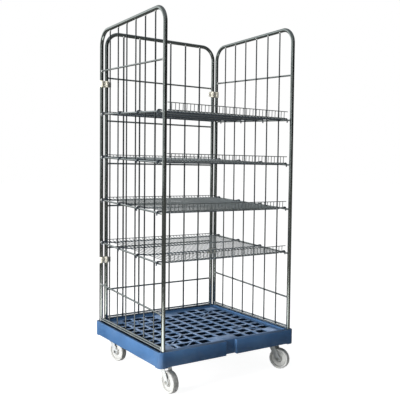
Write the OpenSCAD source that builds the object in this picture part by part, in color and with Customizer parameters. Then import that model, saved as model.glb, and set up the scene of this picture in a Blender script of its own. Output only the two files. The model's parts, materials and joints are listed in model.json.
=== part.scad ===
// Roll cage container: a moulded base on four swivel castors, two side panels and a back
// panel that plug into it, and four lift-off wire shelves that hang on sloping side rods.
// The open front faces -Y. The origin is on the floor, under the middle of the base.

/* [Base] */
// Width of the moulded base, left to right
base_w = 826; // [820:1:832]
// Depth of the moulded base, front to back
base_d = 728; // [724:1:734]
// Height of the rim above the floor
rim_z = 212; // [210:1:214]
// Height of the base at its corners
base_h = 76; // [75:1:77]
// Radius of the base's upright corners
base_r = 24; // [20:1:30]
// Drop from the rim to the deck
deck_drop = 7; // [6:0.5:8]
// Thickness of the deck plate
deck_t = 5; // [4:0.5:6]
// Thickness of the skirt wall
skirt_t = 5; // [4:0.5:6]
// Thickness of the ribs under the deck
rib_t = 4; // [3:0.5:5]
// Spacing of the deck holes, left to right
cell_x = 72.6; // [72:0.1:73]
// Spacing of the deck holes, front to back
cell_y = 62.4; // [62:0.1:63]
// Width of one deck hole
hole_w = 54; // [50:1:56]
// Depth of one deck hole
hole_d = 45; // [42:1:47]

/* [Panels] */
// Outside diameter of the panel tubes
tube_d = 20; // [19:0.5:20]
// Wall of the panel tubes
tube_wall = 1.5; // [1.2:0.1:2]
// Radius of the tube bends, at the centre line
bend_r = 78; // [60:1:85]
// Height of the panels' top tubes above the floor, at the centre line
top_z = 1809; // [1800:1:1820]
// Distance from the centre to each side panel
side_x = 386; // [386:1:386]
// Distance from the centre to the front and rear posts
post_y = 347; // [347:1:347]
// Distance from the centre to each post of the back panel
back_x = 357; // [357:1:357]
// Diameter of the side panels' upright wires
wire_d = 7; // [6:0.5:7]
// Diameter of the back panel's upright wires
back_wire_d = 9; // [8:0.5:9]
// Diameter of the cross rods
rod_d = 9; // [8:0.5:9]
// Spacing of the cross rods
rod_pitch = 236; // [234:1:238]
// Height of the lowest sloping rod at its middle
low_rod_z = 400; // [398:1:402]
// Slope of the side rods, down to the front, in degrees
rod_slope = 2.83; // [2.5:0.01:3]

/* [Shelves] */
// Diameter of the shelf's cross bars
cross_bar_d = 7; // [6.5:0.5:7]
// Diameter of the deck wires
deck_wire_d = 3.5; // [3:0.5:4]
// Number of deck wires in a shelf
deck_wires = 34; // [30:1:35]
// Spacing of the deck wires
deck_wire_pitch = 20.8; // [20:0.1:20.9]
// Height of the front lip's rail above the deck wires
front_lip_h = 38; // [32:1:42]
// Height of the rear lip's rail above the deck wires
rear_lip_h = 10; // [9:1:16]

/* [Castors] */
// Diameter of the wheels
wheel_d = 108; // [106:1:108]
// Width of the wheels
wheel_w = 32; // [30:1:32]
// Distance from the swivel axis back to the axle
trail = 38; // [36:1:40]
// Distance of the swivel axes from the centre, left and right
swivel_x = 337; // [335:1:338]
// Distance of the swivel axes from the centre, front and back
swivel_y = 286; // [284:1:287]
// Headings of the four castors, turned about the swivel axis, in degrees
heading = [4, 23, 14, 9];

/* [Hidden] */
$fn = 48;
base_z = rim_z - base_h;
deck_z = rim_z - deck_drop;
skirt_z = base_z + 4;
columns = 10;
rows = 10;
rib_top = deck_z - deck_t;
pad_z = 12;
well_w = 748;
well_d = 672;
corner_block = 44;
notch_w = 65;
notch_d = 20;
socket_d = tube_d + 0.4;
socket_z = rim_z - 57;
foot_z = rim_z - 55;
wires = 7;
rods = 6;
rod_inset = -3.2;
wire_inset = wire_d / 2 + rod_d / 2 - 0.3 + rod_inset;
back_wire_inset = back_wire_d / 2 + rod_d / 2 - 0.3 + rod_inset;
sill_low = rod_d / 2 + 0.1;
sill_high = 16;
low_back_rod_z = 383;
weld = 1.3;
clip_h = 34;
clip_low_z = 553;
clip_high_z = 1527;
shelf_front_y = -330;
shelf_rear_y = 326;
first_bar_y = -300;
bar_pitch = 204;
wire_lift = cross_bar_d / 2 + deck_wire_d / 2 - 0.4;
lip_rail_d = 4;
lip_rail_l = 732;
lip_bend_r = 5;
stop_bar_d = 5;
stop_bar_l = 714;
hook_r = rod_d / 2 + cross_bar_d / 2 + 0.4;
hook_drop = 12;
crank_deg = 9;
crank_overlap = 1.2;
axle_z = wheel_d / 2;
plate_t = 3.5;
plate_z = base_z - plate_t;
plate_l = 100;
plate_w = 85;
bolt_dx = 40;
bolt_dy = 30;
crown_z = 120.5;
crown_t = 3.4;
crown_d = 60;
kingpin_d = 12;
leg_t = 3;
leg_gap = 37;
boss_r = 13;
hub_w = 34;
sleeve_d = 12;
bush_d = 20;
axle_d = 8;
hex_m8 = 15;
run_gap = 0.05;

// Where the ribs stand: one line at each skirt wall and one between every two cells.
function rib_line(i, count, cell, size) =
    i == 0 ? -size / 2 + skirt_t - rib_t / 2
    : i == count + 2 ? size / 2 - skirt_t + rib_t / 2
    : (i - 1 - count / 2) * cell;

function at_end(i, last) = i < 2 || i > last - 2;

function cell_mid(i, count, cell) = (i + 0.5 - count / 2) * cell;

// Position of a castor: 0 front left, 1 front right, 2 rear left, 3 rear right.
function castor_side(i) = i % 2 == 0 ? -1 : 1;
function castor_end(i) = i < 2 ? -1 : 1;

// A rectangle with round corners, centred.
module rounded_plate(w, d, r) {
    square([w - 2 * r, d], center = true);
    square([w, d - 2 * r], center = true);
    for (x = [-1, 1], y = [-1, 1])
        translate([x * (w / 2 - r), y * (d / 2 - r)])
            circle(r = r);
}

// One deck hole, with its corners cut off.
module deck_hole(w, d, cut = 4) {
    polygon([
        [-w / 2 + cut, -d / 2], [w / 2 - cut, -d / 2],
        [w / 2 - cut / 4, -d / 2 + cut / 4], [w / 2, -d / 2 + cut],
        [w / 2, d / 2 - cut], [w / 2 - cut / 4, d / 2 - cut / 4],
        [w / 2 - cut, d / 2], [-w / 2 + cut, d / 2],
        [-w / 2 + cut / 4, d / 2 - cut / 4], [-w / 2, d / 2 - cut],
        [-w / 2, -d / 2 + cut], [-w / 2 + cut / 4, -d / 2 + cut / 4],
    ]);
}

// A deck hole crossed by a brace that runs towards the middle of the deck.
module braced_hole(x_side, y_side) {
    difference() {
        deck_hole(hole_w, hole_d);
        rotate(x_side * y_side * atan2(cell_y, cell_x))
            square([2 * hole_w, 7], center = true);
    }
}

// The wider opening beside the front left corner, with its own brace.
module service_hole() {
    translate([-286.5, cell_mid(0, rows, cell_y)])
        deck_hole(17, hole_d, 3);
    difference() {
        translate([-205, cell_mid(0, rows, cell_y)])
            deck_hole(112, hole_d);
        translate([-198, cell_mid(0, rows, cell_y)])
            rotate(atan2(cell_y, cell_x))
                square([120, 8], center = true);
    }
}

// Cells that stay closed: the four corner pads and the two pads behind each notch.
function closed_cell(i, j) =
    (j == 0 || j == rows - 1) && (i == 0 || i == columns - 1 || i == 4 || i == 5);

function service_cell(i, j) = j == 0 && (i == 1 || i == 2);

// Cells on the diagonals just inside the corner pads.
function braced_cell(i, j) =
    let (a = min(i, columns - 1 - i), b = min(j, rows - 1 - j))
    a == b && (a == 1 || a == 2);

module deck_holes() {
    for (i = [0 : columns - 1], j = [0 : rows - 1])
        translate([cell_mid(i, columns, cell_x), cell_mid(j, rows, cell_y)])
            if (braced_cell(i, j))
                braced_hole(i < columns / 2 ? -1 : 1, j < rows / 2 ? -1 : 1);
            else if (!closed_cell(i, j) && !service_cell(i, j))
                deck_hole(hole_w, hole_d);
    service_hole();
}

// The hollows between the ribs. The four corners stay solid for the post sockets.
module rib_cells() {
    for (i = [0 : columns + 1], j = [0 : rows + 1])
        if (!(at_end(i, columns + 2) && at_end(j, rows + 2)))
            let (
                x0 = rib_line(i, columns, cell_x, base_w) + rib_t / 2,
                x1 = rib_line(i + 1, columns, cell_x, base_w) - rib_t / 2,
                y0 = rib_line(j, rows, cell_y, base_d) + rib_t / 2,
                y1 = rib_line(j + 1, rows, cell_y, base_d) - rib_t / 2
            )
            translate([x0, y0])
                square([x1 - x0, y1 - y0]);
}

module notch_blocks(w, d, z0, z1) {
    for (y = [-1, 1])
        translate([-w / 2, y * base_d / 2 - (y > 0 ? d : 0), z0])
            cube([w, d, z1 - z0]);
}

module base_deck() {
    color([0.13, 0.25, 0.50])
    difference() {
        union() {
            translate([0, 0, skirt_z])
                linear_extrude(rib_top - skirt_z)
                    difference() {
                        rounded_plate(base_w, base_d, base_r);
                        rib_cells();
                    }
            translate([0, 0, rib_top])
                linear_extrude(deck_t)
                    difference() {
                        rounded_plate(base_w, base_d, base_r);
                        deck_holes();
                    }
            translate([0, 0, deck_z])
                linear_extrude(deck_drop)
                    difference() {
                        rounded_plate(base_w, base_d, base_r);
                        square([well_w, well_d], center = true);
                    }
            translate([0, 0, base_z])
                linear_extrude(skirt_z - base_z)
                    base_corners();
            for (i = [0 : 3])
                translate([castor_side(i) * 338, castor_end(i) * 286, base_z])
                    linear_extrude(pad_z)
                        square([118, 104], center = true);
            notch_blocks(notch_w + 12, notch_d + 6, skirt_z, rib_top);
        }
        notch_blocks(notch_w, notch_d, base_z - 1, rim_z + 1);
        for (x = [-side_x, side_x], y = [-post_y, post_y])
            translate([x, y, socket_z])
                cylinder(h = base_h, d = socket_d);
        for (x = [-back_x, back_x])
            translate([x, post_y, socket_z])
                cylinder(h = base_h, d = socket_d);
        for (i = [0 : 3])
            at_swivel(i)
                bolt_places()
                    translate([0, 0, base_z - 1])
                        cylinder(h = 19, d = 12);
    }
}

// The feet of the skirt at the corners.
module base_corners() {
    intersection() {
        rounded_plate(base_w, base_d, base_r);
        for (x = [-1, 1], y = [-1, 1])
            translate([x * (base_w - corner_block) / 2, y * (base_d - corner_block) / 2])
                square(corner_block, center = true);
    }
}

// A straight length of tube along Z.
module tube(length) {
    difference() {
        cylinder(h = length, d = tube_d);
        translate([0, 0, -1])
            cylinder(h = length + 2, d = tube_d - 2 * tube_wall);
    }
}

// A quarter bend of tube, from +X round to +Z.
module tube_bend() {
    rotate([90, 0, 0])
        rotate_extrude(angle = 90, $fn = 96)
            translate([bend_r, 0])
                difference() {
                    circle(d = tube_d);
                    circle(d = tube_d - 2 * tube_wall);
                }
}

// A panel's tube: two posts and a top, bent in one piece, in the XZ plane.
module panel_frame(half_w) {
    color([0.60, 0.63, 0.63])
    union() {
        for (side = [0, 1])
            mirror([side, 0, 0]) {
                translate([half_w, 0, foot_z])
                    tube(top_z - bend_r - foot_z);
                translate([half_w - bend_r, 0, top_z - bend_r])
                    tube_bend();
            }
        translate([-half_w + bend_r, 0, top_z])
            rotate([0, 90, 0])
                tube(2 * (half_w - bend_r));
    }
}

// Upright wires, welded to the sill rods and to the top tube.
module panel_wires(half_w, d, inset) {
    color([0.60, 0.63, 0.63])
    for (k = [1 : wires - 1])
        translate([half_w * (2 * k / wires - 1), inset, rim_z + sill_high - rod_d / 2])
            cylinder(h = top_z - rim_z - sill_high - tube_d / 2 + rod_d / 2 + 2, d = d);
}

// One rod across a panel, ending in the walls of both posts.
module panel_rod(half_w, z, slope = 0) {
    half_l = (half_w - tube_d / 2 + weld) / cos(slope);
    translate([0, rod_inset, z])
        rotate([0, 90 - slope, 0])
            cylinder(h = 2 * half_l, d = rod_d, center = true);
}

module panel_rods(half_w, low_z, slope) {
    color([0.60, 0.63, 0.63]) {
        for (k = [0 : rods - 1])
            panel_rod(half_w, low_z + k * rod_pitch, slope);
        panel_rod(half_w, rim_z + sill_low);
        panel_rod(half_w, rim_z + sill_high);
    }
}

// Side panels are drawn with +X towards the back and +Y towards the inside.
module on_left() {
    translate([-side_x, 0, 0])
        mirror([1, 0, 0])
            rotate([0, 0, 90])
                children();
}

module on_right() {
    translate([side_x, 0, 0])
        rotate([0, 0, 90])
            children();
}

// The back panel has its wires towards the inside and its rods towards the outside.
module on_back() {
    translate([0, post_y, 0])
        mirror([0, 1, 0])
            children();
}

// A moulded clip that ties a side panel's rear post to the back panel's post.
module panel_clip(side, z) {
    gap = side_x - back_x;
    color([0.87, 0.86, 0.78])
    translate([side * side_x, post_y, z - clip_h / 2])
        difference() {
            union() {
                cylinder(h = clip_h, d = tube_d + 7);
                translate([-side * gap, 0, 0])
                    cylinder(h = clip_h, d = tube_d + 7);
                translate([-side * gap / 2 - gap / 2, -9, 0])
                    cube([gap, 18, clip_h]);
                translate([-side * (gap + 18) - 9, -2, 3])
                    cube([18, 4, clip_h - 6]);
            }
            for (x = [0, -side * gap])
                translate([x, 0, -1])
                    cylinder(h = clip_h + 2, d = tube_d + 0.2);
        }
}

// Shelves are drawn level, with z = 0 on the axis of the rods that carry them.
// Shelf 1 is the top one.
module on_rods(shelf) {
    translate([0, 0, low_rod_z + (rods - 1 - shelf) * rod_pitch])
        rotate([rod_slope, 0, 0])
            children();
}

// A cross bar. It lies level with the rods, rises at both ends and hooks over them.
module hooked_bar() {
    hook_x = side_x - rod_inset;
    ramp = hook_r / tan(crank_deg);
    flat_x = hook_x - hook_r * sin(crank_deg) - ramp * cos(crank_deg);
    rotate([0, 90, 0])
        cylinder(h = 2 * flat_x, d = cross_bar_d, center = true);
    for (side = [0, 1])
        mirror([side, 0, 0]) {
            // sloping end, drawn down a little and pressed into both neighbours
            translate([flat_x, 0, 0])
                rotate([0, 90 - crank_deg, 0])
                    translate([0, 0, -crank_overlap])
                        cylinder(h = ramp + 2 * crank_overlap, d = cross_bar_d - 0.6);
            translate([hook_x, 0, 0])
                rotate([90, 0, 0])
                    rotate_extrude(angle = 90 + crank_deg, $fn = 64)
                        translate([hook_r, 0])
                            circle(d = cross_bar_d);
            translate([hook_x + hook_r, 0, -hook_drop])
                cylinder(h = hook_drop, d = cross_bar_d);
        }
}

module shelf_frame(shelf) {
    color([0.62, 0.66, 0.67])
    on_rods(shelf)
        for (k = [0 : 3])
            translate([0, first_bar_y + k * bar_pitch, 0])
                hooked_bar();
}

// Deck wires run from front to back, between the bends of the two lips.
module shelf_deck_wires(shelf) {
    color([0.68, 0.72, 0.73])
    on_rods(shelf)
        for (k = [0 : deck_wires - 1])
            translate([(k - (deck_wires - 1) / 2) * deck_wire_pitch, shelf_front_y, wire_lift])
                rotate([-90, 0, 0])
                    cylinder(h = shelf_rear_y - shelf_front_y, d = deck_wire_d);
}

// A lip: each deck wire turns up, and a rail joins the tips. It is drawn facing -Y.
module shelf_lip(height) {
    rail_z = height;
    for (k = [0 : deck_wires - 1])
        translate([(k - (deck_wires - 1) / 2) * deck_wire_pitch, 0, 0]) {
            translate([0, 0, lip_bend_r])
                rotate([90, 0, -90])
                    rotate([0, 0, -90])
                        rotate_extrude(angle = 90, $fn = 24)
                            translate([lip_bend_r, 0])
                                circle(d = deck_wire_d);
            translate([0, -lip_bend_r, lip_bend_r])
                cylinder(h = rail_z - lip_bend_r, d = deck_wire_d);
        }
    translate([0, -lip_bend_r, rail_z])
        rotate([0, 90, 0])
            cylinder(h = lip_rail_l, d = lip_rail_d, center = true);
}

// The front lip also has a stop bar across the deck wires, just behind the bends.
module shelf_front_lip(shelf) {
    stop_lift = deck_wire_d / 2 + stop_bar_d / 2 - 0.4;
    color([0.68, 0.72, 0.73])
    on_rods(shelf)
        translate([0, shelf_front_y, wire_lift]) {
            shelf_lip(front_lip_h);
            translate([0, 4, stop_lift])
                rotate([0, 90, 0])
                    cylinder(h = stop_bar_l, d = stop_bar_d, center = true);
        }
}

module shelf_rear_lip(shelf) {
    color([0.68, 0.72, 0.73])
    on_rods(shelf)
        translate([0, shelf_rear_y, wire_lift])
            mirror([0, 1, 0])
                shelf_lip(rear_lip_h);
}

module at_swivel(i) {
    translate([castor_side(i) * swivel_x, castor_end(i) * swivel_y, 0])
        children();
}

// A castor is drawn with its axle along X and its wheel trailing towards -Y.
module on_castor(i) {
    at_swivel(i)
        rotate([0, 0, heading[i]])
            children();
}

module on_axle(i) {
    on_castor(i)
        translate([0, -trail, axle_z])
            rotate([0, 90, 0])
                children();
}

module bolt_places() {
    for (x = [-bolt_dx, bolt_dx], y = [-bolt_dy, bolt_dy])
        translate([x, y, 0])
            children();
}

// Top plate with its upper race and riveted kingpin.
module castor_plate(i) {
    race_z = crown_z + crown_t + 0.3;
    color([0.72, 0.73, 0.72])
    at_swivel(i)
        difference() {
            union() {
                translate([-plate_l / 2, -plate_w / 2, plate_z])
                    cube([plate_l, plate_w, plate_t]);
                translate([0, 0, race_z])
                    cylinder(h = plate_z - race_z + 1, d = 46);
                translate([0, 0, crown_z - 1])
                    cylinder(h = plate_z - crown_z + 2, d = kingpin_d);
                translate([0, 0, crown_z - 5])
                    cylinder(h = 4.7, d = 21);
            }
            bolt_places()
                translate([0, 0, plate_z - 1])
                    cylinder(h = plate_t + 2, d = 9);
        }
}

// One leg's outline in the YZ plane: it narrows from the crown down to the axle boss.
module leg_outline() {
    top = crown_z + crown_t;
    front = -18;
    rear = 20;
    inside_r = 0.96 * boss_r;
    front_len = norm([front + trail, top - axle_z]);
    rear_len = norm([rear + trail, top - axle_z]);
    front_deg = atan2(top - axle_z, front + trail) + acos(boss_r / front_len);
    rear_deg = atan2(top - axle_z, rear + trail) - acos(boss_r / rear_len);
    polygon([
        [front, top], [rear, top],
        [inside_r * cos(rear_deg) - trail, inside_r * sin(rear_deg) + axle_z],
        [inside_r * cos(front_deg) - trail, inside_r * sin(front_deg) + axle_z],
    ]);
    translate([-trail, axle_z])
        circle(r = boss_r);
}

module castor_fork(i) {
    bell_d = 49;
    color([0.74, 0.75, 0.74])
    on_castor(i)
        difference() {
            union() {
                for (side = [-1, 1])
                    translate([side * (leg_gap + leg_t) / 2 - leg_t / 2, 0, 0])
                        rotate([90, 0, 90])
                            linear_extrude(leg_t)
                                leg_outline();
                translate([0, 0, crown_z])
                    cylinder(h = crown_t, d = crown_d);
                translate([0, 0, crown_z])
                    difference() {
                        cylinder(h = 9, d = crown_d);
                        cylinder(h = 10, d = bell_d);
                    }
            }
            translate([0, 0, crown_z - 1])
                cylinder(h = crown_t + 2, d = kingpin_d + 4 * run_gap);
            translate([0, -trail, axle_z])
                rotate([0, 90, 0])
                    cylinder(h = leg_gap + 2 * leg_t + 2, d = axle_d + 0.2, center = true);
        }
}

// Spacer tube clamped between the legs. The bush turns on it.
module castor_sleeve(i) {
    color([0.70, 0.70, 0.68])
    on_axle(i)
        difference() {
            cylinder(h = leg_gap - 0.02, d = sleeve_d, center = true);
            cylinder(h = leg_gap + 2, d = axle_d + 0.2, center = true);
        }
}

// Axle bolt, its nut and washer.
module castor_axle(i) {
    outer = leg_gap / 2 + leg_t;
    color([0.66, 0.66, 0.64])
    on_axle(i) {
        translate([0, 0, -outer - 5.3])
            cylinder(h = 5.3, d = hex_m8, $fn = 6);
        translate([0, 0, -outer - 1])
            cylinder(h = 2 * outer + 10.5, d = axle_d);
        translate([0, 0, outer + 1.6])
            difference() {
                cylinder(h = 6.5, d = hex_m8, $fn = 6);
                translate([0, 0, -1])
                    cylinder(h = 9, d = axle_d);
            }
        translate([0, 0, outer])
            difference() {
                cylinder(h = 1.6, d = 17);
                translate([0, 0, -1])
                    cylinder(h = 4, d = axle_d + 0.4);
            }
    }
}

module castor_wheel(i) {
    r = wheel_d / 2;
    h = wheel_w / 2;
    hub = hub_w / 2;
    color([0.90, 0.90, 0.87])
    on_axle(i)
        rotate_extrude($fn = 96)
            polygon([
                [bush_d / 2, -hub], [17, -hub], [19, -hub + 2], [20.5, -10], [40, -9],
                [43, -h + 2], [45, -h], [r - 3, -h], [r - 0.8, -h + 1.2], [r, -h + 4],
                [r, h - 4], [r - 0.8, h - 1.2], [r - 3, h], [45, h],
                [43, h - 2], [40, 9], [20.5, 10], [19, hub - 2], [17, hub], [bush_d / 2, hub],
            ]);
}

module castor_bush(i) {
    color([0.30, 0.30, 0.31])
    on_axle(i)
        difference() {
            cylinder(h = hub_w + 1.4, d = bush_d, center = true);
            cylinder(h = hub_w + 3, d = sleeve_d + 2 * run_gap, center = true);
        }
}

module castor_bolts() {
    color([0.70, 0.70, 0.68])
    for (i = [0 : 3])
        at_swivel(i)
            bolt_places() {
                translate([0, 0, plate_z - 5.3])
                    cylinder(h = 5.3, d = hex_m8, $fn = 6);
                translate([0, 0, plate_z - 1])
                    cylinder(h = 20, d = axle_d);
            }
}

module castor_inserts() {
    color([0.75, 0.62, 0.30])
    for (i = [0 : 3])
        at_swivel(i)
            bolt_places()
                translate([0, 0, base_z])
                    difference() {
                        cylinder(h = 17.9, d = 12);
                        translate([0, 0, -1])
                            cylinder(h = 20, d = axle_d);
                    }
}

base_deck();
on_left() panel_frame(post_y);  // left_panel_frame
on_left() panel_wires(post_y, wire_d, wire_inset);  // left_panel_wires
on_left() panel_rods(post_y, low_rod_z, rod_slope);  // left_panel_rods
on_right() panel_frame(post_y);  // right_panel_frame
on_right() panel_wires(post_y, wire_d, wire_inset);  // right_panel_wires
on_right() panel_rods(post_y, low_rod_z, rod_slope);  // right_panel_rods
on_back() panel_frame(back_x);  // back_panel_frame
on_back() panel_wires(back_x, back_wire_d, back_wire_inset);  // back_panel_wires
on_back() panel_rods(back_x, low_back_rod_z, 0);  // back_panel_rods
panel_clip(-1, clip_low_z);  // clip_left_lower
panel_clip(-1, clip_high_z);  // clip_left_upper
panel_clip(1, clip_low_z);  // clip_right_lower
panel_clip(1, clip_high_z);  // clip_right_upper
shelf_frame(1);  // shelf_1_frame
shelf_deck_wires(1);  // shelf_1_deck_wires
shelf_front_lip(1);  // shelf_1_front_lip
shelf_rear_lip(1);  // shelf_1_rear_lip
shelf_frame(2);  // shelf_2_frame
shelf_deck_wires(2);  // shelf_2_deck_wires
shelf_front_lip(2);  // shelf_2_front_lip
shelf_rear_lip(2);  // shelf_2_rear_lip
shelf_frame(3);  // shelf_3_frame
shelf_deck_wires(3);  // shelf_3_deck_wires
shelf_front_lip(3);  // shelf_3_front_lip
shelf_rear_lip(3);  // shelf_3_rear_lip
shelf_frame(4);  // shelf_4_frame
shelf_deck_wires(4);  // shelf_4_deck_wires
shelf_front_lip(4);  // shelf_4_front_lip
shelf_rear_lip(4);  // shelf_4_rear_lip
castor_plate(0);  // castor_front_left_plate
castor_fork(0);  // castor_front_left_fork
castor_sleeve(0);  // castor_front_left_sleeve
castor_axle(0);  // castor_front_left_axle
castor_wheel(0);  // castor_front_left_wheel
castor_bush(0);  // castor_front_left_bush
castor_plate(1);  // castor_front_right_plate
castor_fork(1);  // castor_front_right_fork
castor_sleeve(1);  // castor_front_right_sleeve
castor_axle(1);  // castor_front_right_axle
castor_wheel(1);  // castor_front_right_wheel
castor_bush(1);  // castor_front_right_bush
castor_plate(2);  // castor_rear_left_plate
castor_fork(2);  // castor_rear_left_fork
castor_sleeve(2);  // castor_rear_left_sleeve
castor_axle(2);  // castor_rear_left_axle
castor_wheel(2);  // castor_rear_left_wheel
castor_bush(2);  // castor_rear_left_bush
castor_plate(3);  // castor_rear_right_plate
castor_fork(3);  // castor_rear_right_fork
castor_sleeve(3);  // castor_rear_right_sleeve
castor_axle(3);  // castor_rear_right_axle
castor_wheel(3);  // castor_rear_right_wheel
castor_bush(3);  // castor_rear_right_bush
castor_bolts();
castor_inserts();
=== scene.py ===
import json
import math
import random

import bmesh
import bpy
from mathutils import Matrix, Vector

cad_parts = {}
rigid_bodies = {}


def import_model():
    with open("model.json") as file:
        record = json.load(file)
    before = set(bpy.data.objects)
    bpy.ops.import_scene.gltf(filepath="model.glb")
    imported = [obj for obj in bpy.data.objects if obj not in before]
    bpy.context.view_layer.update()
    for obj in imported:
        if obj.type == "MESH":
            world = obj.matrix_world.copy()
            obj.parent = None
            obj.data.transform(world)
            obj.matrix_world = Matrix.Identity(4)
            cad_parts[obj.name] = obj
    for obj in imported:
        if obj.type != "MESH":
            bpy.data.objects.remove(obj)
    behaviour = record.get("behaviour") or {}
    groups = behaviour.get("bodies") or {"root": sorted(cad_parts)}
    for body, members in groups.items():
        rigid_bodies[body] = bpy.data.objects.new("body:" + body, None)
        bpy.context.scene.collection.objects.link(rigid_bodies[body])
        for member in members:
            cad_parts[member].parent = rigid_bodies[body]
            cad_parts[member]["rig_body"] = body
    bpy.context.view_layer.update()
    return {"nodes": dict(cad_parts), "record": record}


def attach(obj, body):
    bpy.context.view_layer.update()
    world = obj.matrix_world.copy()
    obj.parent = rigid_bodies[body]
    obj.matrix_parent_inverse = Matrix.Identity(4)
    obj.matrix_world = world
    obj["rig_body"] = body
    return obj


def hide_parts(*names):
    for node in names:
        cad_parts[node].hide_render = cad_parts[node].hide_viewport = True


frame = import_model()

NODES = frame["nodes"]
MM = 0.001

# Sizes that repeat the CAD's, in millimetres
SIDE_X = 386
POST_Y = 347
BACK_X = 357
TUBE_R = 10
ROD_R = 4.5
WIRE_R = 3.5
BACK_WIRE_R = 4.5
ROD_INSET = -3.2
WIRE_INSET = 4.5
BACK_WIRE_INSET = 5.5
ROD_PITCH = 236
LOW_ROD_Z = 400
LOW_BACK_ROD_Z = 383
ROD_SLOPE = math.radians(2.83)
SILLS = (216.6, 228)
TOP_Z = 1809
WHEEL_R = 54
TRAIL = 38
SWIVEL = (337, 286)
HEADINGS = (4, 23, 14, 9)
CASTORS = ("front_left", "front_right", "rear_left", "rear_right")

# Where the blue's masks go from none to full, in metres from the middle or up from the floor
DECK_SHEEN_X = (0.352, 0.335)
DECK_SHEEN_Y = (0.318, 0.300)
SUNK_X = (0.392, 0.390)
SUNK_Y = (0.332, 0.330)
SUNK_TOP = (0.2042, 0.2030)
SUNK_FOOT = (0.139, 0.141)

# The studio lights the left wheels more than the right ones, so their base shades differ
LEFT_WHEEL_SHADE = 0.50
RIGHT_WHEEL_SHADE = 0.84

# The middle of the bright pool on the floor that only reflections see, in metres
POOL_AT = (-1.15, -0.78, 0.0)

CAMERA_AT = (-1.7710, -2.7354, 1.0594)
CAMERA_YAW_PITCH_ROLL = (33.53, -2.852, 0.590)
CAMERA_LENS = 54.03


# ---------------------------------------------------------------- materials

class Painter:
    """Builds one procedural material, node by node."""

    def __init__(self, name):
        self.mat = bpy.data.materials.new(name)
        self.mat.use_nodes = True
        self.tree = self.mat.node_tree
        self.shader = self.tree.nodes["Principled BSDF"]
        coords = self.tree.nodes.new("ShaderNodeTexCoord")
        self.place = coords.outputs["Object"]

    def node(self, kind, inputs=(), **settings):
        made = self.tree.nodes.new("ShaderNode" + kind)
        for key, value in settings.items():
            setattr(made, key, value)
        for key, value in dict(inputs).items():
            if isinstance(value, bpy.types.NodeSocket):
                self.tree.links.new(value, made.inputs[key])
            else:
                made.inputs[key].default_value = value
        return made

    def set(self, **values):
        for key, value in values.items():
            socket = self.shader.inputs[key.replace("_", " ")]
            if isinstance(value, bpy.types.NodeSocket):
                self.tree.links.new(value, socket)
            else:
                socket.default_value = value

    def stretched(self, x, y, z):
        return self.node(
            "Mapping", {"Vector": self.place, "Scale": (x, y, z)}
        ).outputs["Vector"]

    def noise(self, scale, detail=4.0, rough=0.55, place=None, distortion=0.0):
        return self.node(
            "TexNoise",
            {
                "Vector": place or self.place,
                "Scale": scale,
                "Detail": detail,
                "Roughness": rough,
                "Distortion": distortion,
            },
        ).outputs["Fac"]

    def cells(self, scale):
        return self.node(
            "TexVoronoi", {"Vector": self.place, "Scale": scale}
        ).outputs["Distance"]

    def ramp(self, value, low, high, to_low=0.0, to_high=1.0):
        return self.node(
            "MapRange",
            {
                "Value": value,
                "From Min": low,
                "From Max": high,
                "To Min": to_low,
                "To Max": to_high,
            },
            clamp=True,
        ).outputs["Result"]

    def math(self, operation, a, b=0.0):
        made = self.node("Math", {0: a, 1: b}, operation=operation)
        made.use_clamp = True
        return made.outputs[0]

    def absolute(self, value):
        return self.node("Math", {0: value}, operation="ABSOLUTE").outputs[0]

    def mix(self, fac, a, b):
        made = self.node("Mix", {"Factor": fac}, data_type="RGBA")
        for index, value in ((6, a), (7, b)):
            if isinstance(value, bpy.types.NodeSocket):
                self.tree.links.new(value, made.inputs[index])
            else:
                made.inputs[index].default_value = (*value, 1.0)
        return made.outputs[2]

    def bump(self, height, strength, distance, under=None):
        inputs = {"Height": height, "Strength": strength, "Distance": distance}
        if under:
            inputs["Normal"] = under
        return self.node("Bump", inputs).outputs["Normal"]

    def facing_up(self, low=0.6, high=0.95):
        normal = self.node("NewGeometry").outputs["Normal"]
        z = self.node("SeparateXYZ", {0: normal}).outputs["Z"]
        return self.ramp(z, low, high)

    def edges(self, radius):
        """White where the surface turns sharply."""
        soft = self.node("Bevel", {"Radius": radius}, samples=4).outputs["Normal"]
        flat = self.node("NewGeometry").outputs["Normal"]
        dot = self.node("VectorMath", {0: soft, 1: flat}, operation="DOT_PRODUCT")
        return self.ramp(dot.outputs["Value"], 0.98, 0.80)


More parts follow.
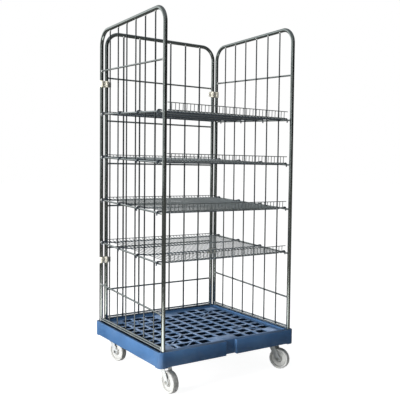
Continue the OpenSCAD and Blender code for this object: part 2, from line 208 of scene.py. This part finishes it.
def zinc(name, bright, dull, rough, grain=1.0, stain=0.35, metallic=1.0):
    """Bright zinc plate over drawn wire or tube: cloudy, faintly green and blue."""
    p = Painter(name)
    cloud = p.noise(9.0, 6.0, 0.62)
    fine = p.noise(170.0 * grain, 3.0, 0.6)
    drawn = p.noise(60.0, 3.0, 0.7, p.stretched(14.0, 14.0, 0.6))
    tint = p.mix(p.ramp(cloud, 0.38, 0.66), dull, bright)
    spangle = p.cells(260.0 * grain)
    dimmed = tuple(c * 0.72 for c in bright)
    tint = p.mix(p.ramp(spangle, 0.15, 0.6, 0.0, 0.22), tint, dimmed)
    blotch = p.ramp(p.noise(23.0, 5.0, 0.7), 0.56, 0.72, 0.0, stain)
    tint = p.mix(blotch, tint, (dull[0] * 0.62, dull[1] * 0.66, dull[2] * 0.62))
    haze = p.ramp(p.noise(3.1, 3.0, 0.5), 0.35, 0.7)
    cool = (bright[0] * 0.86, bright[1] * 0.95, bright[2] * 1.04)
    tint = p.mix(p.math("MULTIPLY", haze, 0.35), tint, cool)
    uneven = p.math("ADD", p.math("MULTIPLY", cloud, 0.6), p.math("MULTIPLY", fine, 0.4))
    roughness = p.ramp(uneven, 0.3, 0.7, rough - 0.07, rough + 0.12)
    normal = p.bump(fine, 0.12, 0.0004)
    normal = p.bump(drawn, 0.10, 0.0005, normal)
    p.set(Base_Color=tint, Metallic=metallic, Roughness=roughness, Normal=normal)
    p.shader.inputs["Anisotropic"].default_value = 0.25
    return p.mat


def moulded_blue():
    """Moulded polyethylene: fine orange peel, deck bars scuffed and lightened on top by a painted
    highlight, and a painted shade on the rim tops and the openings' walls.
    """
    p = Painter("moulded_blue")
    cloud = p.noise(5.0, 5.0, 0.6)
    tint = p.mix(p.ramp(cloud, 0.32, 0.7), (0.033, 0.090, 0.200), (0.060, 0.142, 0.290))
    up = p.facing_up()
    spot = p.node("SeparateXYZ", {0: p.place})
    out_x = p.absolute(spot.outputs["X"])
    out_y = p.absolute(spot.outputs["Y"])
    inside_x = p.ramp(out_x, *DECK_SHEEN_X)
    inside_y = p.ramp(out_y, *DECK_SHEEN_Y)
    deck_sheen = p.math("MULTIPLY", up, p.math("MULTIPLY", inside_x, inside_y))
    # painted shade: the upward faces outside the deck, the rim tops, are darkened toward a deep
    # blue
    rim = p.math("SUBTRACT", up, deck_sheen)
    tint = p.mix(p.math("MULTIPLY", rim, 0.50), tint, (0.020, 0.052, 0.112))
    wipe = p.noise(16.0, 7.0, 0.75, p.stretched(1.0, 0.35, 1.0), 0.6)
    cross = p.noise(19.0, 7.0, 0.75, p.stretched(0.3, 1.0, 1.0), 0.5)
    scuffs = p.ramp(p.math("MAXIMUM", wipe, cross), 0.44, 0.66)
    scuffs_and_sheen = p.math("MULTIPLY", scuffs, deck_sheen)
    # painted highlight: the deck's upward faces are lightened
    tint = p.mix(p.math("MULTIPLY", deck_sheen, 0.50), tint, (0.120, 0.230, 0.430))
    # scuffs on the deck tops, partly real wear and partly a painted highlight, make them paler
    # still
    tint = p.mix(p.math("MULTIPLY", scuffs_and_sheen, 0.62), tint, (0.560, 0.670, 0.850))
    edge = p.edges(0.0025)
    edge = p.math("MULTIPLY", edge, p.ramp(p.noise(60.0, 4.0, 0.7), 0.30, 0.62))
    tint = p.mix(p.math("MULTIPLY", edge, 0.55), tint, (0.320, 0.430, 0.600))
    scratch = p.ramp(p.noise(22.0, 8.0, 0.8, p.stretched(1.0, 9.0, 5.0), 1.2), 0.63, 0.70)
    tint = p.mix(p.math("MULTIPLY", scratch, 0.30), tint, (0.180, 0.270, 0.400))
    dust = p.ramp(p.noise(14.0, 7.0, 0.75), 0.50, 0.80, 0.0, 0.22)
    tint = p.mix(dust, tint, (0.170, 0.195, 0.220))
    # darkens the openings' walls, which this studio lights more than a loaded cage's are lit
    above, below = p.ramp(spot.outputs["Z"], *SUNK_TOP), p.ramp(spot.outputs["Z"], *SUNK_FOOT)
    sunk = p.math("MULTIPLY", above, below)
    in_x, in_y = p.ramp(out_x, *SUNK_X), p.ramp(out_y, *SUNK_Y)
    sunk = p.math("MULTIPLY", sunk, p.math("MULTIPLY", in_x, in_y))
    tint = p.mix(p.math("MULTIPLY", sunk, 0.85), tint, (0.010, 0.018, 0.032))
    grain = p.noise(900.0, 2.0, 0.5)
    peel = p.noise(190.0, 3.0, 0.5)
    normal = p.bump(grain, 0.25, 0.00025)
    normal = p.bump(peel, 0.18, 0.0006, normal)
    normal = p.bump(scuffs_and_sheen, 0.10, 0.0004, normal)
    rough = p.math("ADD", p.math("MULTIPLY", scuffs_and_sheen, 0.4), p.math("MULTIPLY", cloud, 0.5))
    p.set(Base_Color=tint, Roughness=p.ramp(rough, 0.2, 0.8, 0.36, 0.58), Normal=normal)
    p.shader.inputs["Specular IOR Level"].default_value = 0.45
    return p.mat


def nylon(name, body, dirt, centre=None, axle=None):
    """Cast white nylon, greyed with floor dirt on the tread."""
    p = Painter(name)
    cloud = p.noise(28.0, 5.0, 0.6)
    tint = p.mix(p.ramp(cloud, 0.35, 0.7), body, tuple(c * 0.90 for c in body))
    if centre is not None:
        # distance from the axle line, by taking the part along the axle away
        away = p.node("VectorMath", {0: p.place, 1: centre}, operation="SUBTRACT").outputs[0]
        along = p.node("VectorMath", {0: away, 1: axle}, operation="DOT_PRODUCT")
        back = p.node(
            "VectorMath", {0: axle, "Scale": along.outputs["Value"]}, operation="SCALE"
        ).outputs[0]
        flat = p.node("VectorMath", {0: away, 1: back}, operation="SUBTRACT").outputs[0]
        radius = p.node("VectorMath", {0: flat}, operation="LENGTH").outputs["Value"]
        tread = p.ramp(radius, 0.0500, 0.0537)
        marks = p.ramp(p.noise(75.0, 7.0, 0.75), 0.34, 0.64)
        tint = p.mix(p.math("MULTIPLY", tread, p.math("MULTIPLY", marks, 0.75)), tint, dirt)
        groove = p.math(
            "MULTIPLY", p.ramp(radius, 0.0447, 0.0415), p.ramp(radius, 0.0372, 0.0405)
        )
        tint = p.mix(p.math("MULTIPLY", groove, 0.45), tint, dirt)
        hub = p.ramp(radius, 0.0225, 0.0195)
        tint = p.mix(p.math("MULTIPLY", hub, 0.50), tint, dirt)
    grime = p.ramp(p.noise(17.0, 6.0, 0.7), 0.52, 0.78, 0.0, 0.30)
    tint = p.mix(grime, tint, dirt)
    fine = p.noise(420.0, 3.0, 0.5)
    nick = p.noise(95.0, 6.0, 0.8)
    normal = p.bump(fine, 0.15, 0.0003)
    normal = p.bump(nick, 0.14, 0.0007, normal)
    p.set(Base_Color=tint, Roughness=p.ramp(cloud, 0.3, 0.7, 0.36, 0.52), Normal=normal)
    p.shader.inputs["Subsurface Weight"].default_value = 0.06
    p.shader.inputs["Subsurface Radius"].default_value = (0.004, 0.004, 0.0035)
    return p.mat


def brass():
    p = Painter("knurled_brass")
    cloud = p.noise(60.0, 5.0, 0.6)
    tint = p.mix(p.ramp(cloud, 0.35, 0.68), (0.44, 0.31, 0.11), (0.66, 0.49, 0.20))
    tint = p.mix(p.ramp(p.noise(150.0, 5.0, 0.7), 0.55, 0.75, 0.0, 0.5), tint, (0.22, 0.16, 0.08))
    normal = p.bump(p.noise(700.0, 3.0, 0.6), 0.2, 0.0002)
    roughness = p.ramp(cloud, 0.3, 0.7, 0.28, 0.45)
    p.set(Base_Color=tint, Metallic=1.0, Roughness=roughness, Normal=normal)
    return p.mat


def weld_metal():
    """Weld beads under the plating: rippled, and paler than the tube, partly a painted highlight.
    """
    p = Painter("weld_bead")
    ripple = p.noise(420.0, 4.0, 0.6, None, 1.5)
    # painted highlight, in part: the beads are tinted from mid grey to near white
    tint = p.mix(p.ramp(ripple, 0.35, 0.65), (0.46, 0.47, 0.46), (0.82, 0.83, 0.81))
    tint = p.mix(p.ramp(p.noise(80.0, 4.0, 0.6), 0.55, 0.75, 0.0, 0.5), tint, (0.25, 0.24, 0.21))
    normal = p.bump(ripple, 0.5, 0.0008)
    roughness = p.ramp(ripple, 0.3, 0.7, 0.42, 0.60)
    p.set(Base_Color=tint, Metallic=0.55, Roughness=roughness, Normal=normal)
    return p.mat


TUBE = zinc("zinc_tube", (0.50, 0.53, 0.50), (0.34, 0.375, 0.355), 0.15)
WIRE = zinc("zinc_wire", (0.235, 0.255, 0.26), (0.125, 0.143, 0.155), 0.25, 1.6)
ROD = zinc("zinc_rod", (0.62, 0.65, 0.64), (0.42, 0.46, 0.45), 0.24, 1.5)
SHELF = zinc("zinc_shelf", (0.56, 0.59, 0.59), (0.40, 0.43, 0.43), 0.33, 1.8, 0.25)
CASTOR = zinc("zinc_castor", (0.74, 0.75, 0.74), (0.58, 0.59, 0.58), 0.33, 1.2, 0.35, 0.35)
# painted shade: the shelves' cross bars get a darker, bluer zinc than the shelf frames, standing
# for shade from below
SHADED_BAR = zinc("zinc_bar", (0.34, 0.38, 0.43), (0.22, 0.25, 0.30), 0.32, 1.8, 0.25)
BOLT = zinc("zinc_bolt", (0.70, 0.70, 0.67), (0.52, 0.52, 0.49), 0.30, 2.2)
BLUE = moulded_blue()
CLIP = nylon("clip_cream", (0.74, 0.71, 0.60), (0.34, 0.32, 0.27))
WHEEL = nylon("wheel_white", (0.80, 0.80, 0.76), (0.24, 0.235, 0.22))
BUSH = nylon("bush_grey", (0.075, 0.078, 0.082), (0.030, 0.029, 0.028))
BRASS = brass()
WELD = weld_metal()

SLOT_LOOK = {
    "base_plastic": BLUE,
    "tube_steel": TUBE,
    "wire_steel": WIRE,
    "shelf_steel": SHELF,
    "clip_plastic": CLIP,
    "castor_steel": CASTOR,
    "bolt_steel": BOLT,
    "wheel_nylon": WHEEL,
    "bush_plastic": BUSH,
    "insert_brass": BRASS,
}


# ---------------------------------------------------------------- mesh tools

def made(name, mesh, look, body, slot_name, *stands_for):
    """Links a finished mesh as a piece of the object."""
    piece = bpy.data.objects.new(name, mesh)
    bpy.context.scene.collection.objects.link(piece)
    mesh.materials.clear()
    mesh.materials.append(look)
    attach(piece, body)
    if stands_for:
        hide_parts(*stands_for)
    return piece


def finished(bm, name):
    bmesh.ops.recalc_face_normals(bm, faces=bm.faces)
    mesh = bpy.data.meshes.new(name)
    for face in bm.faces:
        face.smooth = True
    bm.to_mesh(mesh)
    bm.free()
    return mesh


def sharpen(mesh, degrees):
    """Smooth shading, with edges sharper than this kept."""
    mesh.shade_smooth()
    mesh.set_sharp_from_angle(angle=math.radians(degrees))


def refined(node, name, look, slot_name, width, segments=2, angle=35, joined=True):
    """A copy of a CAD node with its facets joined and its sharp edges rounded."""
    bm = bmesh.new()
    bm.from_mesh(NODES[node].data)
    bmesh.ops.remove_doubles(bm, verts=bm.verts, dist=5e-6)
    if joined:
        bmesh.ops.dissolve_limit(
            bm, angle_limit=math.radians(0.5), verts=bm.verts, edges=bm.edges
        )
    mesh = finished(bm, name)
    piece = made(name, mesh, look, NODES[node]["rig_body"], slot_name, node)
    bevel = piece.modifiers.new("round", "BEVEL")
    bevel.width = width * MM
    bevel.segments = segments
    bevel.limit_method = "ANGLE"
    bevel.angle_limit = math.radians(angle)
    bevel.use_clamp_overlap = False
    bevel.harden_normals = True
    bevel.miter_outer = "MITER_ARC"
    return piece


def ring(bm, centre, side, up, radius, count, wobble=None):
    """Vertices on a circle."""
    verts = []
    for k in range(count):
        a = 2 * math.pi * k / count
        r = radius * (wobble(a) if wobble else 1.0)
        out = side * (r * math.cos(a))
        verts.append(bm.verts.new(centre + out + up * (r * math.sin(a))))
    return verts


def bridge(bm, low, high):
    count = len(low)
    for k in range(count):
        n = (k + 1) % count
        bm.faces.new((low[k], low[n], high[n], high[k]))


def sweep(bm, path, radius, count=14):
    """A round bar along a path in one plane, with domed ends."""
    normal = None
    for a, b, c in zip(path, path[1:], path[2:]):
        n = (b - a).cross(c - b)
        if n.length > 1e-12:
            normal = n.normalized()
            break
    rings = []
    last = len(path) - 1
    for k, point in enumerate(path):
        before = path[max(k - 1, 0)]
        after = path[min(k + 1, last)]
        ahead = (after - before).normalized()
        side = ahead.cross(normal).normalized()
        rings.append(ring(bm, point, side, normal, radius, count))
    for low, high in zip(rings, rings[1:]):
        bridge(bm, low, high)
    for end, rim in ((0, rings[0]), (last, rings[-1])):
        inner = path[1] if end == 0 else path[last - 1]
        out = (path[end] - inner).normalized()
        side = out.cross(normal).normalized()
        previous = rim
        for lift, shrink in ((0.35, 0.88), (0.55, 0.62)):
            centre = path[end] + out * (radius * lift)
            cap = ring(bm, centre, side, normal, radius * shrink, count)
            if end == 0:
                # this end's ring runs the other way, so its vertices are matched by place
                cap = [min(cap, key=lambda v, p=p: (v.co - p.co).length) for p in previous]
            bridge(bm, previous, cap)
            previous = cap
        bm.faces.new(previous)


def lathe(name, profile, centre, axle, steps=96):
    """Turns a closed profile of (radius, along) points, in mm, round an axle."""
    axle = axle.normalized()
    side = axle.orthogonal().normalized()
    up = axle.cross(side)
    bm = bmesh.new()
    hoops = [
        ring(bm, centre + axle * (along * MM), side, up, radius * MM, steps)
        for radius, along in profile
    ]
    for low, high in zip(hoops, hoops[1:] + hoops[:1]):
        bridge(bm, low, high)
    return finished(bm, name)


def rounded_profile(points, radii, steps=5):
    """Rounds the corners of a closed polygon."""
    result = []
    count = len(points)
    for k, (point, radius) in enumerate(zip(points, radii)):
        here = Vector(point)
        back = Vector(points[k - 1]) - here
        ahead = Vector(points[(k + 1) % count]) - here
        if radius == 0:
            result.append(point)
            continue
        half = back.angle(ahead) / 2
        cut = min(radius / math.tan(half), back.length * 0.48, ahead.length * 0.48)
        start = here + back.normalized() * cut
        end = here + ahead.normalized() * cut
        for s in range(steps + 1):
            t = s / steps
            result.append(tuple(start * (1 - t) ** 2 + here * (2 * t * (1 - t)) + end * t ** 2))
    return result


# ---------------------------------------------------------------- CAD nodes

SLOTS = {row["node"]: row["material_slot"] for row in frame["record"]["subparts"]}

for node in NODES.values():
    look = ROD if node.name.endswith("_rods") else SLOT_LOOK[SLOTS[node.name]]
    node.data.materials.clear()
    node.data.materials.append(look)
    sharpen(node.data, 32)


# ---------------------------------------------------------------- base

refined("base_deck", "base_moulding", BLUE, "base_plastic", width=0.9, angle=40, joined=False)


# ---------------------------------------------------------------- panels

random.seed(11)


def bead(bm, at, ahead, radius, spread, length):
    """A weld fillet round a bar: wide where it meets the tube, feathering out along the bar."""
    ahead = ahead.normalized()
    side = ahead.orthogonal().normalized()
    up = ahead.cross(side)
    phase = random.uniform(0, 6.28)
    ripple = random.uniform(0.05, 0.12)
    slump = random.uniform(0.04, 0.10)

    def wobble(a):
        return 1 + ripple * math.sin(5 * a + phase) + slump * math.sin(2 * a + 1.7 * phase)

    steps = (
        (-0.35, 0.80), (0.0, 1.0), (0.16, 0.93), (0.36, 0.62),
        (0.60, 0.28), (0.84, 0.08), (1.0, -0.06),
    )
    hoops = [
        ring(
            bm, at + ahead * (length * t * MM), side, up,
            (radius + spread * s) * MM, 14, wobble if s > 0.1 else None,
        )
        for t, s in steps
    ]
    for low, high in zip(hoops, hoops[1:]):
        bridge(bm, low, high)
    bm.faces.new(hoops[0])
    bm.faces.new(hoops[-1])


def panel_point(panel, along, inset, z):
    """A panel's own coordinates, in mm, to the row frame: along runs to the back or the right."""
    if panel == "left":
        return Vector((-SIDE_X + inset, along, z)) * MM
    if panel == "right":
        return Vector((SIDE_X - inset, along, z)) * MM
    return Vector((along, POST_Y - inset, z)) * MM


for panel, half in (("left", POST_Y), ("right", POST_Y), ("back", BACK_X)):
    low = LOW_BACK_ROD_Z if panel == "back" else LOW_ROD_Z
    slope = 0.0 if panel == "back" else math.tan(ROD_SLOPE)
    bm = bmesh.new()
    for z, tilt in [(low + k * ROD_PITCH, slope) for k in range(6)] + [(s, 0.0) for s in SILLS]:
        for end in (-1, 1):
            reach = end * (half - TUBE_R)
            at = panel_point(panel, reach, ROD_INSET, z + reach * tilt)
            inward = panel_point(panel, 0, ROD_INSET, z) - at
            bead(bm, at, inward, ROD_R, 2.3, 5.0)
    for k in range(1, 7):
        along = half * (2 * k / 7 - 1)
        inset = BACK_WIRE_INSET if panel == "back" else WIRE_INSET
        wire_r = BACK_WIRE_R if panel == "back" else WIRE_R
        at = panel_point(panel, along, inset, TOP_Z - TUBE_R + 0.8)
        bead(bm, at, Vector((0, 0, -1)), wire_r, 1.9, 4.5)
    mesh = finished(bm, panel + "_panel_welds")
    rods_body = NODES[panel + "_panel_rods"]["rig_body"]
    made(panel + "_panel_welds", mesh, WELD, rods_body, "wire_steel")

for clip in ("left_lower", "left_upper", "right_lower", "right_upper"):
    refined(
        "clip_" + clip, "clip_moulding_" + clip, CLIP, "clip_plastic",
        width=0.9, segments=3, angle=40,
    )


# ---------------------------------------------------------------- shelves

HOOK_X = 389.2
HOOK_R = 8.4
HOOK_DROP = 12
CRANK = math.radians(9)
BEND = 6
BEND_STEPS = 6
BAR_R = 3.5
FIRST_BAR_Y = -300
BAR_SPACING = 204


def bar_path(steps=12):
    """Half of a hooked cross bar, from the middle outwards, in the plane of its x and z."""
    ramp = HOOK_R / math.tan(CRANK)
    flat = HOOK_X - HOOK_R * math.sin(CRANK) - ramp * math.cos(CRANK)
    points = [(0, 0), (flat - BEND, 0)]
    for k in range(1, BEND_STEPS):
        t = k / BEND_STEPS
        x = flat - BEND + BEND * t + BEND * t * t * math.cos(CRANK)
        points.append((x, BEND * t * t * math.sin(CRANK)))
    points.append((flat + BEND * math.cos(CRANK), BEND * math.sin(CRANK)))
    points.append((flat + (ramp - 2) * math.cos(CRANK), (ramp - 2) * math.sin(CRANK)))
    for k in range(steps + 1):
        a = math.pi / 2 + CRANK - (math.pi / 2 + CRANK) * k / steps
        points.append((HOOK_X + HOOK_R * math.cos(a), HOOK_R * math.sin(a)))
    points.append((HOOK_X + HOOK_R, -HOOK_DROP + BAR_R * 0.55))
    return points


for shelf in range(1, 5):
    tilt = Matrix.Rotation(ROD_SLOPE, 4, "X")
    lift = Vector((0, 0, LOW_ROD_Z + (5 - shelf) * ROD_PITCH)) * MM
    half = bar_path()
    outline = [(-x, z) for x, z in half[:0:-1]] + half[1:]
    bm = bmesh.new()
    for k in range(4):
        y = FIRST_BAR_Y + BAR_SPACING * k
        path = [tilt @ (Vector((x, y, z)) * MM) + lift for x, z in outline]
        sweep(bm, path, BAR_R * MM, 16)
    name = "shelf_%d_bars" % shelf
    made(name, finished(bm, name), SHADED_BAR, NODES["shelf_%d_frame" % shelf]["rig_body"],
         "shelf_steel", "shelf_%d_frame" % shelf)


# ---------------------------------------------------------------- castors

hub = 17.0
half_w = 16.0
WHEEL_PROFILE = rounded_profile(
    [
        (10, -hub), (17, -hub), (19, -hub + 2), (20.5, -10), (40, -9), (43, -half_w + 2),
        (45, -half_w), (WHEEL_R - 2.6, -half_w), (WHEEL_R, -half_w + 4.2),
        (WHEEL_R, half_w - 4.2), (WHEEL_R - 2.6, half_w), (45, half_w), (43, half_w - 2),
        (40, 9), (20.5, 10), (19, hub - 2), (17, hub), (10, hub),
    ],
    [0.3, 1.2, 1.2, 3.0, 4.0, 1.5, 2.0, 3.0, 4.0, 4.0, 3.0, 2.0, 1.5, 4.0, 3.0, 1.2, 1.2, 0.3],
)

for index, corner in enumerate(CASTORS):
    heading = math.radians(HEADINGS[index])
    swivel = Vector((
        SWIVEL[0] * (1 if index % 2 else -1), SWIVEL[1] * (-1 if index < 2 else 1), 0,
    )) * MM
    turn = Matrix.Rotation(heading, 3, "Z")
    axle = turn @ Vector((1, 0, 0))
    centre = swivel + turn @ (Vector((0, -TRAIL, WHEEL_R)) * MM)
    node = "castor_%s_" % corner
    # painted shade: each wheel's body colour is set by its side, darker on the left than on the
    # right
    painted_wheel_shade = RIGHT_WHEEL_SHADE if index % 2 else LEFT_WHEEL_SHADE
    body = (painted_wheel_shade, painted_wheel_shade, painted_wheel_shade * 0.965)
    tyre = nylon("nylon_" + corner, body, (0.22, 0.215, 0.20), tuple(centre), tuple(axle))
    wheel = lathe(node + "tyre", WHEEL_PROFILE, centre, axle)
    wheel_body = NODES[node + "wheel"]["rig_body"]
    made(node + "tyre", wheel, tyre, wheel_body, "wheel_nylon", node + "wheel")
    refined(node + "fork", node + "pressing", CASTOR, "castor_steel", 0.6)
    refined(node + "plate", node + "top_plate", CASTOR, "castor_steel", 0.5)
    refined(node + "axle", node + "axle_bolt", BOLT, "bolt_steel", 0.35)

refined("castor_bolts", "castor_hex_bolts", BOLT, "bolt_steel", 0.35)


# ---------------------------------------------------------------- stage, light, camera

def floor():
    """A very large pale sheet, with a faint unevenness."""
    bm = bmesh.new()
    bmesh.ops.create_grid(bm, x_segments=8, y_segments=8, size=40.0)
    mesh = finished(bm, "floor")
    p = Painter("floor_pale")
    cloud = p.noise(0.8, 3.0, 0.5)
    tint = p.mix(p.ramp(cloud, 0.3, 0.7), (0.30, 0.30, 0.30), (0.33, 0.33, 0.33))
    p.set(Base_Color=tint, Roughness=0.75)
    p.shader.inputs["Emission Color"].default_value = (1, 1, 1, 1)
    p.shader.inputs["Emission Strength"].default_value = 0.93
    p.shader.inputs["Specular IOR Level"].default_value = 0.1
    dim = p.node("BsdfDiffuse", {"Color": (0.62, 0.62, 0.62, 1.0)})
    rays = p.node("LightPath")
    pick = p.node("MixShader", {0: rays.outputs["Is Camera Ray"]})
    # what the bright plating mirrors: a pool of light on the floor at the cage's near left
    away = p.node("VectorMath", {0: p.place, 1: POOL_AT}, operation="DISTANCE")
    pool = p.ramp(away.outputs["Value"], 1.05, 0.60, 0.13, 2.5)
    shine = p.node("Emission", {"Color": (1.0, 0.99, 0.95, 1.0), "Strength": pool})
    mirrored = p.node("MixShader", {0: rays.outputs["Is Glossy Ray"]})
    p.tree.links.new(dim.outputs[0], mirrored.inputs[1])
    p.tree.links.new(shine.outputs[0], mirrored.inputs[2])
    p.tree.links.new(mirrored.outputs[0], pick.inputs[1])
    p.tree.links.new(p.shader.outputs[0], pick.inputs[2])
    p.tree.links.new(pick.outputs[0], p.tree.nodes["Material Output"].inputs["Surface"])
    sheet = bpy.data.objects.new("floor", mesh)
    mesh.materials.append(p.mat)
    bpy.context.scene.collection.objects.link(sheet)


def area(name, place, aim, size, power):
    """A white rectangular light, which the plating doesn't mirror."""
    data = bpy.data.lights.new(name, "AREA")
    data.shape = "RECTANGLE"
    data.size, data.size_y = size
    data.energy = power
    lamp = bpy.data.objects.new(name, data)
    lamp.location = place
    lamp.visible_glossy = False
    lamp.rotation_euler = (Vector(aim) - Vector(place)).to_track_quat("-Z", "Y").to_euler()
    bpy.context.scene.collection.objects.link(lamp)


def world():
    """White behind the object; an uneven grey studio in its reflections."""
    made_world = bpy.data.worlds.new("studio")
    bpy.context.scene.world = made_world
    made_world.use_nodes = True
    tree = made_world.node_tree
    tree.nodes.clear()
    new, link = tree.nodes.new, tree.links.new
    out = new("ShaderNodeOutputWorld")
    pick = new("ShaderNodeMixShader")
    rays = new("ShaderNodeLightPath")
    white = new("ShaderNodeBackground")
    white.inputs["Color"].default_value = (1, 1, 1, 1)
    white.inputs["Strength"].default_value = 1.0
    grey = new("ShaderNodeBackground")
    grey.inputs["Strength"].default_value = 1.9
    coords = new("ShaderNodeTexCoord")
    split = new("ShaderNodeSeparateXYZ")
    link(coords.outputs["Generated"], split.inputs[0])
    angle = new("ShaderNodeMath")
    angle.operation = "ARCTAN2"
    link(split.outputs["Y"], angle.inputs[0])
    link(split.outputs["X"], angle.inputs[1])
    turn = new("ShaderNodeMapRange")
    turn.inputs["From Min"].default_value = -math.pi
    turn.inputs["From Max"].default_value = math.pi
    link(angle.outputs[0], turn.inputs["Value"])
    bands = new("ShaderNodeValToRGB")
    link(turn.outputs["Result"], bands.inputs["Fac"])
    # round the horizon from -X through -Y (front), +X and +Y back to -X
    stops = [
        (0.000, 0.105), (0.060, 0.032), (0.090, 1.000), (0.120, 0.032), (0.150, 0.016),
        (0.250, 0.011), (0.310, 0.032), (0.380, 0.016), (0.500, 0.016), (0.640, 0.105),
        (0.750, 0.526), (0.860, 0.526), (0.930, 0.211), (1.000, 0.105),
    ]
    ramp = bands.color_ramp
    for place, value in stops[1:-1]:
        ramp.elements.new(place)
    for element, (place, value) in zip(ramp.elements, stops):
        element.position = place
        element.color = (value * 0.97, value, value, 1)
    high = new("ShaderNodeMapRange")
    high.inputs["From Min"].default_value = 0.25
    high.inputs["From Max"].default_value = 0.85
    link(split.outputs["Z"], high.inputs["Value"])
    mix = new("ShaderNodeMix")
    mix.data_type = "RGBA"
    link(high.outputs["Result"], mix.inputs["Factor"])
    link(bands.outputs["Color"], mix.inputs[6])
    mix.inputs[7].default_value = (0.11, 0.116, 0.124, 1)
    link(mix.outputs[2], grey.inputs["Color"])
    link(rays.outputs["Is Camera Ray"], pick.inputs[0])
    link(grey.outputs[0], pick.inputs[1])
    link(white.outputs[0], pick.inputs[2])
    link(pick.outputs[0], out.inputs["Surface"])


def camera():
    yaw, pitch, roll = (math.radians(a) for a in CAMERA_YAW_PITCH_ROLL)
    ahead = Vector((
        math.sin(yaw) * math.cos(pitch), math.cos(yaw) * math.cos(pitch), math.sin(pitch),
    ))
    right = Vector((math.cos(yaw), -math.sin(yaw), 0))
    up = right.cross(ahead)
    x = right * math.cos(roll) + up * math.sin(roll)
    y = up * math.cos(roll) - right * math.sin(roll)
    data = bpy.data.cameras.new("camera")
    data.lens = CAMERA_LENS
    data.sensor_width = 36
    eye = bpy.data.objects.new("camera", data)
    basis = Matrix((x, y, -ahead)).transposed().to_4x4()
    eye.matrix_world = Matrix.Translation(CAMERA_AT) @ basis
    bpy.context.scene.collection.objects.link(eye)
    bpy.context.scene.camera = eye


floor()
world()
area("key", place=(-4.2, -0.2, 1.9), aim=(0, 0, 0.6), size=(2.2, 2.6), power=370)
area("top", place=(-0.4, 0.3, 4.2), aim=(0, 0, 0.2), size=(3.0, 3.0), power=26)
area("fill", place=(2.6, -3.4, 1.6), aim=(0, 0, 0.8), size=(1.6, 2.0), power=3)
camera()

scene = bpy.context.scene
scene.view_settings.view_transform = "Standard"
scene.view_settings.look = "None"
